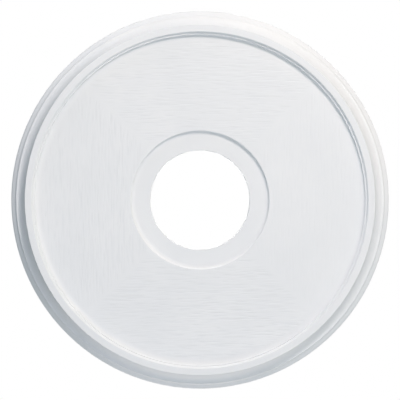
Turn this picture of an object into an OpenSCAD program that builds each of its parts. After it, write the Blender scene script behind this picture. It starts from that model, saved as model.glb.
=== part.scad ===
// Ceiling rose (ceiling medallion): one moulded ring, fixed flat against a ceiling round a lamp outlet.
//
// Frame: the origin is the centre of the back face, which lies on the ceiling. +Z points up into the
// ceiling, so the moulded side looks down, towards -Z. The rose is turned about the Z axis.
// All sizes are in millimetres. A depth is measured down from the ceiling.

/* [Overall] */
// Outside diameter of the rose
outer_d = 400; // [300:1:700]
// How far the rim stands down from the ceiling
projection = 25; // [22:0.5:40]
// Diameter of the hole in the middle, for the lamp's cable and ceiling box
hole_d = 105; // [60:1:130]

/* [Outer edge] */
// Thickness of the rose at its outer edge
edge_t = 6; // [4:0.5:8]
// Rounding of the outer edge, on the room side
edge_round = 4; // [1:0.1:5]
// Width of the sloping ledge between the outer edge and the moulding
ledge_w = 4.3; // [3.5:0.1:10]
// How much the ledge rises from the outer edge inwards
ledge_rise = 3.4; // [1:0.1:4]
// Height of the small step at the inner side of the ledge
ledge_step = 2.6; // [1:0.1:4]
// Slope of that step, as its width seen from below
ledge_draft = 1.8; // [0.4:0.1:3]

/* [Cove] */
// Width of the hollow moulding that climbs from the ledge to the rim
cove_w = 9.9; // [6:0.1:25]
// Height of the steep lip between the hollow moulding and the top of the rim
lip_h = 0.9; // [0.6:0.1:3]
// Slope of the lip, as its width seen from below
lip_draft = 0.5; // [0.2:0.1:2]

/* [Rim] */
// Width of the flat top of the rim
rim_w = 6.8; // [3:0.1:15]
// Depth of the first step down inside the rim
step_h = 2.4; // [1:0.1:4]
// Slope of the first step, as its width seen from below
step_draft = 1.9; // [0.8:0.1:4]
// Width of the narrow tread between the two steps
tread_w = 1.1; // [0.8:0.1:5]
// Depth of the second, hollow step, down to the sunk face
scoop_h = 3.3; // [2:0.1:5]
// Width of the second, hollow step
scoop_w = 5.3; // [2:0.1:10]
// Height of the upright lip above each hollow step, here and at the hub
scoop_lip_h = 1.5; // [0.8:0.1:1.6]

/* [Hub] */
// Diameter of the shallow recess round the hole, for the lamp's canopy
hub_d = 145; // [120:0.5:280]
// Depth of that recess below the sunk face
hub_h = 3.1; // [2:0.1:6]
// Width of the hollow step at the side of that recess
hub_scoop_w = 4.2; // [2:0.1:8]

/* [Edges] */
// Rounding of the crisp edges on the room side
crisp_round = 0.3; // [0.2:0.05:0.4]
// Rounding of the softer edges: the inner edge of the rim and the edge of the recess at the hub
soft_round = 0.9; // [0.4:0.1:1.5]

/* [Hidden] */
outer_r = outer_d / 2;
hole_r = hole_d / 2;
hub_r = hub_d / 2;

// Radii of the moulding, from the outer edge inwards.
ledge_r = outer_r - ledge_w;
cove_r = ledge_r - ledge_draft;
lip_r = cove_r - cove_w;
rim_r = lip_r - lip_draft;
step_r = rim_r - rim_w;
tread_r = step_r - step_draft;
scoop_r = tread_r - tread_w;

// Depths below the ceiling.
ledge_d = edge_t + ledge_rise;
cove_foot_d = ledge_d + ledge_step;
cove_top_d = projection - lip_h;
tread_d = projection - step_h;
face_d = tread_d - scoop_h;
hub_floor_d = face_d - hub_h;

// The outer edge's rounding leaves at least this much of the ledge and of the edge flat.
least_flat = 0.4;
edge_rounding = min(edge_round, ledge_w - least_flat, edge_t - least_flat);

// The rounding at the hub's edge leaves at least this much of its lip upright.
least_upright = 0.1;
hub_rounding = min(soft_round, scoop_lip_h - least_upright);

// A hollow starts near flat at its foot and ends steep at its top, both angles from the ceiling plane.
cove_foot_angle = 3;
cove_top_angle = 56;
scoop_foot_angle = 0;
scoop_top_angle = 70;

// Number of straight pieces in each hollow, in each rounding and round the whole rose.
cove_steps = 14;
scoop_steps = 10;
round_steps = 6;
$fn = 180;

// Points of a hollow that climbs from its foot to its top, both given as [radius, depth]. The curve is
// part of an ellipse, stretched to meet both ends.
function hollow(foot, top, foot_angle, top_angle, steps) = [
    for (i = [0:steps])
        let (
            angle = foot_angle + (top_angle - foot_angle) * i / steps,
            across = (sin(angle) - sin(foot_angle)) / (sin(top_angle) - sin(foot_angle)),
            up = (cos(foot_angle) - cos(angle)) / (cos(foot_angle) - cos(top_angle))
        )
        [foot[0] + (top[0] - foot[0]) * across, foot[1] + (top[1] - foot[1]) * up]
];

// The points of a list from its last to its first.
function backwards(points) = [for (i = [len(points) - 1:-1:0]) points[i]];

// Points of the rounding at a corner between the points before and after it.
function rounded(before, corner, after, radius) =
    let (
        to_before = (before - corner) / norm(before - corner),
        to_after = (after - corner) / norm(after - corner),
        half_angle = acos(to_before * to_after) / 2,
        centre = corner + (to_before + to_after) / norm(to_before + to_after) * radius / sin(half_angle),
        tangent_length = radius / tan(half_angle),
        first = corner + to_before * tangent_length - centre,
        last = corner + to_after * tangent_length - centre,
        sweep = 180 - 2 * half_angle
    )
    [
        for (i = [0:round_steps])
            let (share = i / round_steps)
            centre + (first * sin((1 - share) * sweep) + last * sin(share * sweep)) / sin(sweep)
    ];

// Half of the rose's section as [radius, depth], from the back of the hole round to the hub floor.
function section() =
    let (
        cove = hollow([cove_r, cove_foot_d], [lip_r, cove_top_d],
                      cove_foot_angle, cove_top_angle, cove_steps),
        scoop = hollow([scoop_r - scoop_w, face_d], [scoop_r, tread_d - scoop_lip_h],
                       scoop_foot_angle, scoop_top_angle, scoop_steps),
        hub_scoop = hollow([hub_r - hub_scoop_w, hub_floor_d], [hub_r, face_d - scoop_lip_h],
                           scoop_foot_angle, scoop_top_angle, scoop_steps),
        back_outer = [outer_r, 0],
        back_inner = [hole_r, 0],
        edge_corner = [outer_r, edge_t],
        ledge_top = [ledge_r, ledge_d],
        rim_outer = [rim_r, projection],
        rim_inner = [step_r, projection],
        step_foot = [tread_r, tread_d],
        tread_edge = [scoop_r, tread_d],
        hub_edge = [hub_r, face_d],
        hole_edge = [hole_r, hub_floor_d]
    )
    concat(
        [back_inner, back_outer],
        rounded(back_outer, edge_corner, ledge_top, edge_rounding),
        [ledge_top],
        rounded(ledge_top, cove[0], cove[1], crisp_round),
        [for (i = [1:cove_steps]) cove[i]],
        rounded(cove[cove_steps], rim_outer, rim_inner, crisp_round),
        rounded(rim_outer, rim_inner, step_foot, soft_round),
        [step_foot],
        rounded(step_foot, tread_edge, scoop[scoop_steps], crisp_round),
        backwards(scoop),
        rounded(scoop[0], hub_edge, hub_scoop[scoop_steps], hub_rounding),
        backwards(hub_scoop),
        rounded(hub_scoop[0], hole_edge, back_inner, crisp_round)
    );

module ceiling_rose() {
    color([0.93, 0.94, 0.95])
        mirror([0, 0, 1])
            rotate_extrude()
                polygon(section());
}

ceiling_rose();
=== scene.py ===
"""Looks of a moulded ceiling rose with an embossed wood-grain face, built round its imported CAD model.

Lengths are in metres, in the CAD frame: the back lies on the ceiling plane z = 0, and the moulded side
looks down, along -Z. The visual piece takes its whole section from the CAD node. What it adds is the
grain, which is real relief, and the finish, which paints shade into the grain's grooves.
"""

import math

import bpy
import numpy as np
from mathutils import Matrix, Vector
from mathutils.geometry import delaunay_2d_cdt


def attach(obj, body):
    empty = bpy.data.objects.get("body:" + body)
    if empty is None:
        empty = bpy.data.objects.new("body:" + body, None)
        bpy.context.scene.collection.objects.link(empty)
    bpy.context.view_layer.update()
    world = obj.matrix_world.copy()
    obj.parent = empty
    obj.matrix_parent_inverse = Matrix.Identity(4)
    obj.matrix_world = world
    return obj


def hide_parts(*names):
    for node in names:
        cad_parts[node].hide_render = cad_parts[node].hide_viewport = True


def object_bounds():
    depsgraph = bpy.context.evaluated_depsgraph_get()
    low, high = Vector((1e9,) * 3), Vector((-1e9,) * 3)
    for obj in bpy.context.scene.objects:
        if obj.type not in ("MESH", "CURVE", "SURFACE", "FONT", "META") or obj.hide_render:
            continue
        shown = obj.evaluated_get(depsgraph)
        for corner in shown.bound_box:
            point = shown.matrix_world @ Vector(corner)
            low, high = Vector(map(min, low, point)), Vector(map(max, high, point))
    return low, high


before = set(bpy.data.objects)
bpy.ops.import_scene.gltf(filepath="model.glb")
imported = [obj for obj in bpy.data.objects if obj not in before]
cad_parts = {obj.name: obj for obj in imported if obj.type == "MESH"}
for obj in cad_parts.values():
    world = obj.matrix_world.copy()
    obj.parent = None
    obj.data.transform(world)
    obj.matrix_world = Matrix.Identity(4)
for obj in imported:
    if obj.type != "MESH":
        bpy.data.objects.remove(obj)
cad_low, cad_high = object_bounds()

MM = 0.001
NODE = "ceiling_rose"

# Mesh of the rose: places round a circle, and how near two of the node's vertices are to be one point of the
# section. A straight stretch over LONG_STRETCH gets a ring at HOLD inside each of its ends.
SEGMENTS = 360
SAME_POINT = 0.03 * MM
LONG_STRETCH = 1.0 * MM
HOLD = 0.15 * MM
SHARP_ANGLE = 50

# Mesh of the grained face: the distance between rows, which run with the grain, and between the places along
# a row. The gap at a row's end is at least END_GAP columns, and at the face's borders BORDER_GAP rows.
ROW = 0.45 * MM
COLUMN = 3.2 * MM
END_GAP = 0.25
BORDER_GAP = 0.6

# Grain. A quarter's field is sampled at this pitch and reaches this far past the face.
FIELD_ALONG = 0.8 * MM
FIELD_ACROSS = 0.2 * MM
FIELD_MARGIN = 12 * MM
GRAIN_SEED = 7
BORDER_FADE = 1.6 * MM
MITRE_FADE = 6 * MM

# Streaks: blur along and across the grain, and root mean square height.
FINE_STREAKS = (3.5 * MM, 0.36 * MM, 0.013 * MM)
BROAD_STREAKS = (7 * MM, 1.0 * MM, 0.004 * MM)

# Pores. A half length is PORE_LEAST_HALF and a gamma draw of that shape and scale; the rest are ranges, and
# the spread of a pore's lean from the grain. A pore is worked out as far as PORE_REACH half widths aside.
PORES = 3400
PORE_GAMMA = (2.2, 2.6 * MM)
PORE_LEAST_HALF = 1.8 * MM
PORE_HALF_WIDTHS = (0.3, 0.42)
PORE_DEPTHS = (0.025, 0.085)
PORE_LEAN = 0.012
PORE_REACH = 4.5

# Depth at which a place in the grain gets the full painted shade of a groove.
FULL_GROOVE_SHADE_DEPTH = 0.1 * MM

# Each quarter of the face: whether its grain runs along X, the side it lies on, how much the grain slants,
# and how strong it is.
QUARTERS = (
    (True, 1, 0.03, 1.95),
    (True, -1, -0.006, 1.2),
    (False, 1, 0.01, 0.49),
    (False, -1, -0.012, 1.6),
)

# Lamps: bearing and lean in degrees, size in metres, power in watts and colour.
LAMP_DISTANCE = 2.2
LAMPS = {
    "key": (65, 48, 0.4, 37.6, (0.955, 0.885, 0.85)),
    "low_fill": (285, 60, 0.8, 10.4, (0.96, 1.0, 0.98)),
    "front_fill": (255, 40, 0.8, 9, (0.68, 0.74, 1.0)),
    "side_fill": (120, 80, 0.8, 11.7, (0.78, 0.83, 1.0)),
    "right_edge": (0, 105, 1.2, 8, (0.92, 0.9, 1.0)),
    "lower_edge": (270, 105, 1.2, 9.5, (1.0, 0.85, 0.8)),
    "back_light": (0, 180, 1.5, 30, (1.0, 0.97, 0.98)),
}
WORLD_STRENGTH = 0.135
WORLD_COLOUR = (0.75, 1.0, 0.93)

# Camera and room. The picture's half width is FRAME_MARGIN outer radii, at EDGE_DEPTH below the ceiling.
CAMERA_DISTANCE = 1.8
SENSOR = 36.0
FRAME_MARGIN = 1.0588
EDGE_DEPTH = 6.6 * MM
FARTHEST_SEEN = 100
ROOM_HEIGHT = 2.7
FLOOR_HALF = 60.0

# Finish: the paint's two tones, the painted shade in the grain's grooves, and its gloss.
DULL_PAINT = (0.80, 0.81, 0.815)
CLEAN_PAINT = (0.835, 0.84, 0.84)
PAINTED_GROOVE_SHADE = (0.785, 0.795, 0.80)
ROUGHNESS = (0.5, 0.66)
PAINT_IOR = 1.46
CLOUD_SCALE = 14
PEBBLE_SCALE = 1100
PEBBLE_HEIGHT = 0.012 * MM
FIBRE_SCALE = (55, 1500, 1)
FIBRE_HEIGHT = 0.03 * MM

FLOOR_GREY = (0.85, 0.85, 0.85)
FLOOR_GLOW = 0.97
WHITE = (1.0, 1.0, 1.0)


# ---------------------------------------------------------------- the section, read from the CAD node

def read_section(mesh):
    """The node's section as a loop of (radius, z), from the back edge of the hole outwards."""
    places = np.array([(math.hypot(v.co.x, v.co.y), v.co.z) for v in mesh.vertices])
    points = []
    label = np.full(len(places), -1)
    for i, place in enumerate(places):
        if label[i] >= 0:
            continue
        near = np.hypot(*(places - place).T) < SAME_POINT
        label[near] = len(points)
        points.append(places[near].mean(0))
    beside = [set() for _ in points]
    for edge in mesh.edges:
        a, b = (label[v] for v in edge.vertices)
        if a != b:
            beside[a].add(b)
            beside[b].add(a)
    back = [i for i, point in enumerate(points) if abs(point[1]) < SAME_POINT]
    order = [min(back, key=lambda i: points[i][0]), max(back, key=lambda i: points[i][0])]
    while len(order) < len(points):
        order.append(next(i for i in beside[order[-1]] if i not in order[-2:]))
    return [tuple(points[i]) for i in order]


def face_stretch(section):
    """Index of the point where the sunk face starts: it is the longest level stretch below the back."""
    def length(i):
        (r0, z0), (r1, z1) = section[i], section[i + 1]
        return abs(r1 - r0) if abs(z1 - z0) < SAME_POINT and z0 < -MM else 0
    return max(range(len(section) - 1), key=length)


def held(start, end):
    """Points between two section points, close to the ends of a long straight, which keep it flat."""
    span = math.dist(start, end)
    if span < LONG_STRETCH:
        return []
    shares = (HOLD / span, 1 - HOLD / span)
    return [tuple(a + (b - a) * s for a, b in zip(start, end)) for s in shares]


# ---------------------------------------------------------------- the wood grain

def smoothed(field, axis, sigma, pitch):
    """field blurred along one axis by a Gaussian of that sigma, both in metres."""
    n = field.shape[axis]
    wave = np.fft.rfftfreq(n, pitch)
    gain = np.exp(-2 * (math.pi * sigma * wave) ** 2)
    shape = [1, 1]
    shape[axis] = len(gain)
    return np.fft.irfft(np.fft.rfft(field, axis=axis) * gain.reshape(shape), n, axis=axis)


def streaks(rng, shape, along, across, height):
    """Streaky noise, blurred by those sigmas along and across the grain, of that root mean square height."""
    field = rng.normal(size=shape)
    field = smoothed(field, 1, along, FIELD_ALONG)
    field = smoothed(field, 0, across, FIELD_ACROSS)
    return field * height / field.std()


class Quarter:
    """The grain of one mitred quarter, as a height field over (across, along)."""

    def __init__(self, rng, reach, slant):
        self.start = -(reach + FIELD_MARGIN)
        self.slant = slant
        span = -2 * self.start
        shape = (math.ceil(span / FIELD_ACROSS), math.ceil(span / FIELD_ALONG))
        fine = streaks(rng, shape, *FINE_STREAKS)
        broad = streaks(rng, shape, *BROAD_STREAKS)
        self.field = fine + broad - self.pores(rng, shape)

    def pores(self, rng, shape):
        """Long narrow dents, pressed at random places."""
        across = np.arange(shape[0])[:, None] * FIELD_ACROSS
        along = np.arange(shape[1])[None, :] * FIELD_ALONG
        dents = np.zeros(shape)
        for _ in range(PORES):
            centre = rng.uniform((0, 0), (across[-1, 0], along[0, -1]))
            half_length = rng.gamma(*PORE_GAMMA) + PORE_LEAST_HALF
            half_width = rng.uniform(*PORE_HALF_WIDTHS) * MM
            depth = rng.uniform(*PORE_DEPTHS) * MM
            lean = rng.normal(0, PORE_LEAN)
            reach = PORE_REACH * half_width
            a0, a1 = np.searchsorted(along[0], (centre[1] - half_length, centre[1] + half_length))
            c0, c1 = np.searchsorted(across[:, 0], (centre[0] - reach, centre[0] + reach))
            u = along[:, a0:a1] - centre[1]
            v = across[c0:c1] - centre[0] - u * lean
            dent = depth * (1 - (u / half_length) ** 2) * np.exp(-0.5 * (v / half_width) ** 2)
            dents[c0:c1, a0:a1] = np.maximum(dents[c0:c1, a0:a1], dent)
        return dents

    def height(self, along, across):
        """Height of the grain at places given along and across it, by linear interpolation."""
        col = (along - self.start) / FIELD_ALONG
        row = (across - self.start + along * self.slant) / FIELD_ACROSS
        c, r = np.floor(col).astype(int), np.floor(row).astype(int)
        fc, fr = col - c, row - r
        f = self.field
        low = f[r, c] * (1 - fc) + f[r, c + 1] * fc
        high = f[r + 1, c] * (1 - fc) + f[r + 1, c + 1] * fc
        return low * (1 - fr) + high * fr


def ramp(distance, width):
    """0 at a border, rising smoothly to 1 at that width from it."""
    t = np.clip(distance / width, 0, 1)
    return t * t * (3 - 2 * t)


def grain_height(xy, inner, outer):
    """Relief of the sunk face at places xy. The grain runs along X in the quarters at +Y and -Y, and along
    Y in the other two, like four mitred boards. It dies out at the mitres and at the face's borders."""
    rng = np.random.default_rng(GRAIN_SEED)
    x, y = xy.T
    upright = np.abs(y) > np.abs(x)
    height = np.zeros(len(xy))
    for runs_along_x, side, slant, strength in QUARTERS:
        quarter = Quarter(rng, outer, slant)
        across, along = (y, x) if runs_along_x else (x, y)
        inside = (upright == runs_along_x) & (across * side > 0)
        height[inside] = strength * quarter.height(along[inside], across[inside])
    radius = np.hypot(x, y)
    to_border = np.minimum(outer - radius, radius - inner)
    to_mitre = np.abs(np.abs(x) - np.abs(y)) / math.sqrt(2)
    return height * ramp(to_border, BORDER_FADE) * ramp(to_mitre, MITRE_FADE)


def face_points(inner, outer):
    """Places inside the sunk face: rows close together across the grain, places further apart along them,
    and the rows' ends on the mitres."""
    rows = np.arange(ROW, outer, ROW)
    half = []
    for across in rows:
        along = np.arange(0, across - END_GAP * COLUMN, COLUMN)
        along = np.concatenate((-along[:0:-1], along))
        half.append(np.stack((along, np.full(len(along), across)), 1))
    board = np.concatenate(half)
    mitre = np.stack((rows, rows), 1)
    points = np.concatenate((
        board,
        -board,
        board[:, ::-1],
        -board[:, ::-1],
        mitre,
        -mitre,
        mitre * (1, -1),
        mitre * (-1, 1),
    ))
    radius = np.hypot(*points.T)
    gap = BORDER_GAP * ROW
    return points[(radius > inner + gap) & (radius < outer - gap)]


# ---------------------------------------------------------------- the rose's mesh

def circle(radius):
    """SEGMENTS places round a circle."""
    angle = np.arange(SEGMENTS) * 2 * math.pi / SEGMENTS
    return np.stack((radius * np.cos(angle), radius * np.sin(angle)), 1)


def face_mesh(inner, outer):
    """Places and triangles of the sunk face between its two circles, anticlockwise as seen from +Z. The
    first places are the outer circle's, then the inner circle's."""
    places = np.concatenate((circle(outer), circle(inner), face_points(inner, outer)))
    loop = [(i, (i + 1) % SEGMENTS) for i in range(SEGMENTS)]
    edges = loop + [(a + SEGMENTS, b + SEGMENTS) for a, b in loop]
    made = delaunay_2d_cdt([Vector(p) for p in places], edges, [], 0, 1e-9)
    points, faces, came_from = made[0], made[2], made[3]
    index = [found[0] for found in came_from]
    triangles = np.array([[index[i] for i in face] for face in faces])
    in_hub = (triangles >= SEGMENTS) & (triangles < 2 * SEGMENTS)
    triangles = triangles[~in_hub.all(1)]
    assert len(points) == len(places)
    return places, triangles


def build_rose():
    """The rose as one closed mesh: the turned section, with the grained face let into it."""
    section = read_section(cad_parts[NODE].data)
    start = face_stretch(section)
    (outer, face_z), (inner, _) = section[start], section[start + 1]

    rings = section[start + 1:] + section[:start + 1]
    full = [rings[0]]
    for before, after in zip(rings, rings[1:]):
        full += held(before, after) + [after]
    # full runs from the face's inner circle, over the hub, hole and back, to the face's outer circle.
    radii, heights = np.array(full).T
    flat = np.concatenate([circle(r) for r in radii])
    turned = np.column_stack((flat, np.repeat(heights, SEGMENTS)))

    ring, seg = np.meshgrid(np.arange(len(full) - 1), np.arange(SEGMENTS), indexing="ij")
    step = (seg + 1) % SEGMENTS
    quads = np.stack((ring * SEGMENTS + seg, (ring + 1) * SEGMENTS + seg,
                      (ring + 1) * SEGMENTS + step, ring * SEGMENTS + step), -1).reshape(-1, 4)

    places, triangles = face_mesh(inner, outer)
    inside = places[2 * SEGMENTS:]
    # The relief stands down from the face, towards the room.
    relief = grain_height(inside, inner, outer)
    grained = np.column_stack((inside, face_z - relief))
    outer_ring = (len(full) - 1) * SEGMENTS + np.arange(SEGMENTS)
    inner_ring = np.arange(SEGMENTS)
    new = len(turned) + np.arange(len(inside))
    to_index = np.concatenate((outer_ring, inner_ring, new))
    triangles = to_index[triangles][:, ::-1]

    mesh = bpy.data.meshes.new(NODE)
    mesh.from_pydata(np.concatenate((turned, grained)).tolist(), [], quads.tolist() + triangles.tolist())
    mesh.validate()
    rose = bpy.data.objects.new("rose", mesh)
    bpy.context.scene.collection.objects.link(rose)
    add_grain_map(mesh, len(quads), full)
    add_groove_shade_mask(mesh, len(turned), relief)
    return rose


def add_grain_map(mesh, quad_count, full):
    """A UV map in metres, along and across the grain on the face, and round and across the moulding."""
    loops = len(mesh.loops)
    corner = np.empty(loops, np.int32)
    mesh.loops.foreach_get("vertex_index", corner)
    co = np.empty(len(mesh.vertices) * 3)
    mesh.vertices.foreach_get("co", co)
    co = co.reshape(-1, 3)
    uv = np.zeros((loops, 2))

    turned = corner[:quad_count * 4]
    runs = np.concatenate(([0], np.cumsum([math.dist(a, b) for a, b in zip(full, full[1:])])))
    seg = np.tile(np.arange(SEGMENTS), quad_count // SEGMENTS)
    turn = np.stack((seg, seg, seg + 1, seg + 1), 1).ravel() * 2 * math.pi / SEGMENTS
    uv[:quad_count * 4] = np.stack((turn * cad_high.x, runs[turned // SEGMENTS]), 1)

    at = co[corner[quad_count * 4:]].reshape(-1, 3, 3)
    middle = at.mean(1)
    swap = np.abs(middle[:, 0]) > np.abs(middle[:, 1])
    plane = at[:, :, :2].copy()
    plane[swap] = plane[swap][:, :, ::-1]
    uv[quad_count * 4:] = plane.reshape(-1, 2)
    mesh.uv_layers.new(name="grain").uv.foreach_set("vector", uv.astype(np.float32).ravel())


def add_groove_shade_mask(mesh, turned_count, relief):
    """An attribute that says how deep a place lies in the grain, from 0 to 1. It masks the painted shade in
    the grooves.
    """
    depth = np.zeros(len(mesh.vertices), np.float32)
    # Mask for painted shade: the deeper a place lies in the grain, the darker its paint.
    depth[turned_count:] = np.clip(-relief / FULL_GROOVE_SHADE_DEPTH, 0, 1)
    mesh.attributes.new("groove_shade", "FLOAT", "POINT").data.foreach_set("value", depth)


# ---------------------------------------------------------------- materials

class Nodes:
    """A short way to fill the node tree of a new material or world."""

    def __init__(self, owner):
        owner.use_nodes = True
        self.tree = owner.node_tree
        self.tree.nodes.clear()

    def add(self, kind, **settings):
        node = self.tree.nodes.new(kind)
        for key, value in settings.items():
            setattr(node, key, value)
        return node

    def link(self, source, target):
        self.tree.links.new(source, target)

    def noise(self, vector, scale, detail=2.0, roughness=0.5):
        node = self.add("ShaderNodeTexNoise")
        node.inputs["Scale"].default_value = scale
        node.inputs["Detail"].default_value = detail
        node.inputs["Roughness"].default_value = roughness
        self.link(vector, node.inputs["Vector"])
        return node.outputs["Fac"]

    def spread(self, value, low, high):
        """value, taken from 0.3..0.7, spread over low..high."""
        node = self.add("ShaderNodeMapRange")
        self.link(value, node.inputs["Value"])
        node.inputs["From Min"].default_value = 0.3
        node.inputs["From Max"].default_value = 0.7
        node.inputs["To Min"].default_value = low
        node.inputs["To Max"].default_value = high
        return node.outputs["Result"]

    def mix(self, share, first, second):
        """A colour between two, each a socket or a plain colour."""
        node = self.add("ShaderNodeMix", data_type="RGBA")
        self.link(share, node.inputs["Factor"])
        for value, socket in ((first, node.inputs[6]), (second, node.inputs[7])):
            if isinstance(value, tuple):
                socket.default_value = (*value, 1)
            else:
                self.link(value, socket)
        return node.outputs[2]

    def bump(self, height, distance, below=None):
        node = self.add("ShaderNodeBump")
        node.inputs["Distance"].default_value = distance
        self.link(height, node.inputs["Height"])
        if below:
            self.link(below, node.inputs["Normal"])
        return node.outputs["Normal"]


def primed_moulding():
    """White primed polyurethane: low sheen, faint mottling, painted shade in the grain's grooves, fine grain
    and a slightly pebbled skin.
    """
    material = bpy.data.materials.new("primed_moulding")
    nodes = Nodes(material)
    place = nodes.add("ShaderNodeTexCoord").outputs["Object"]
    grain = nodes.add("ShaderNodeUVMap", uv_map="grain").outputs["UV"]
    stretched = nodes.add("ShaderNodeMapping")
    stretched.inputs["Scale"].default_value = FIBRE_SCALE
    nodes.link(grain, stretched.inputs["Vector"])
    fibre = nodes.noise(stretched.outputs["Vector"], 1.0, 3.0, 0.6)
    pebble = nodes.noise(place, PEBBLE_SCALE)
    cloud = nodes.noise(place, CLOUD_SCALE, 3.0)
    groove_shade = nodes.add("ShaderNodeAttribute", attribute_name="groove_shade").outputs["Fac"]

    shader = nodes.add("ShaderNodeBsdfPrincipled")
    paint = nodes.mix(nodes.spread(cloud, 0, 1), DULL_PAINT, CLEAN_PAINT)
    # Painted shade: the paint darkens towards the grooves' colour the deeper a place lies in the grain.
    paint = nodes.mix(groove_shade, paint, PAINTED_GROOVE_SHADE)
    nodes.link(paint, shader.inputs["Base Color"])
    nodes.link(nodes.spread(fibre, *ROUGHNESS), shader.inputs["Roughness"])
    shader.inputs["IOR"].default_value = PAINT_IOR
    skin = nodes.bump(pebble, PEBBLE_HEIGHT)
    skin = nodes.bump(fibre, FIBRE_HEIGHT, skin)
    nodes.link(skin, shader.inputs["Normal"])
    output = nodes.add("ShaderNodeOutputMaterial")
    nodes.link(shader.outputs["BSDF"], output.inputs["Surface"])
    return material


def seen_ray(nodes):
    """1 for the rays that see a thing, straight, in a gloss or through glass, and 0 for all others."""
    path = nodes.add("ShaderNodeLightPath")
    total = nodes.add("ShaderNodeMath", operation="ADD", use_clamp=True)
    nodes.link(path.outputs["Is Camera Ray"], total.inputs[0])
    nodes.link(path.outputs["Is Glossy Ray"], total.inputs[1])
    both = nodes.add("ShaderNodeMath", operation="ADD", use_clamp=True)
    nodes.link(total.outputs[0], both.inputs[0])
    nodes.link(path.outputs["Is Transmission Ray"], both.inputs[1])
    return both.outputs[0]


# ---------------------------------------------------------------- stage, lights and camera

def make_floor():
    """A plain pale floor, a room's height below the ceiling."""
    material = bpy.data.materials.new("pale_floor")
    nodes = Nodes(material)
    pale = nodes.add("ShaderNodeBsdfDiffuse")
    pale.inputs["Color"].default_value = (*FLOOR_GREY, 1)
    glow = nodes.add("ShaderNodeEmission")
    glow.inputs["Color"].default_value = (*WHITE, 1)
    glow.inputs["Strength"].default_value = FLOOR_GLOW
    both = nodes.add("ShaderNodeAddShader")
    blend = nodes.add("ShaderNodeMixShader")
    nodes.link(seen_ray(nodes), blend.inputs["Fac"])
    nodes.link(pale.outputs["BSDF"], both.inputs[0])
    nodes.link(glow.outputs["Emission"], both.inputs[1])
    nodes.link(pale.outputs["BSDF"], blend.inputs[1])
    nodes.link(both.outputs["Shader"], blend.inputs[2])
    output = nodes.add("ShaderNodeOutputMaterial")
    nodes.link(blend.outputs["Shader"], output.inputs["Surface"])

    signs = ((-1, -1), (1, -1), (1, 1), (-1, 1))
    corners = [(x * FLOOR_HALF, y * FLOOR_HALF, -ROOM_HEIGHT) for x, y in signs]
    mesh = bpy.data.meshes.new("floor")
    mesh.from_pydata(corners, [], [(0, 1, 2, 3)])
    mesh.materials.append(material)
    floor = bpy.data.objects.new("floor", mesh)
    bpy.context.scene.collection.objects.link(floor)


def make_world():
    """White where it is seen, and a faint even light where it lights."""
    world = bpy.data.worlds.new("studio")
    nodes = Nodes(world)
    light = nodes.add("ShaderNodeBackground")
    light.inputs["Color"].default_value = (*WORLD_COLOUR, 1)
    light.inputs["Strength"].default_value = WORLD_STRENGTH
    seen = nodes.add("ShaderNodeBackground")
    seen.inputs["Color"].default_value = (*WHITE, 1)
    seen.inputs["Strength"].default_value = 1.0
    blend = nodes.add("ShaderNodeMixShader")
    nodes.link(seen_ray(nodes), blend.inputs["Fac"])
    nodes.link(light.outputs["Background"], blend.inputs[1])
    nodes.link(seen.outputs["Background"], blend.inputs[2])
    output = nodes.add("ShaderNodeOutputWorld")
    nodes.link(blend.outputs["Shader"], output.inputs["Surface"])
    bpy.context.scene.world = world


def soft_lamp(name, bearing, lean, size, power, colour):
    """A square lamp aimed at the rose's middle. bearing is its direction as the camera sees it, in degrees
    anticlockwise from the right, and lean is its angle from straight below the rose."""
    b, tilt = math.radians(bearing), math.radians(lean)
    toward = Vector((math.sin(tilt) * math.cos(b), -math.sin(tilt) * math.sin(b), -math.cos(tilt)))
    data = bpy.data.lights.new(name, "AREA")
    data.shape = "SQUARE"
    data.size = size
    data.energy = power
    data.color = colour
    lamp = bpy.data.objects.new(name, data)
    lamp.location = toward * LAMP_DISTANCE
    lamp.rotation_mode = "QUATERNION"
    lamp.rotation_quaternion = toward.to_track_quat("Z", "Y")
    lamp.visible_camera = False
    bpy.context.scene.collection.objects.link(lamp)


def make_camera():
    """Straight below the rose, looking up, with +X to the right and -Y up the picture."""
    data = bpy.data.cameras.new("camera")
    data.sensor_width = SENSOR
    half_width = cad_high.x * FRAME_MARGIN
    data.lens = SENSOR / 2 * (CAMERA_DISTANCE - EDGE_DEPTH) / half_width
    data.clip_end = FARTHEST_SEEN
    camera = bpy.data.objects.new("camera", data)
    camera.location = (0, 0, -CAMERA_DISTANCE)
    camera.rotation_euler = (math.pi, 0, 0)
    bpy.context.scene.collection.objects.link(camera)
    bpy.context.scene.camera = camera


rose = build_rose()
rose.data.materials.append(primed_moulding())
rose.data.shade_smooth()
rose.data.set_sharp_from_angle(angle=math.radians(SHARP_ANGLE))
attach(rose, "root")
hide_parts(NODE)

make_floor()
make_world()
for name, (bearing, lean, size, power, colour) in LAMPS.items():
    soft_lamp(name, bearing, lean, size, power, colour)
make_camera()

scene = bpy.context.scene
scene.view_settings.view_transform = "Standard"
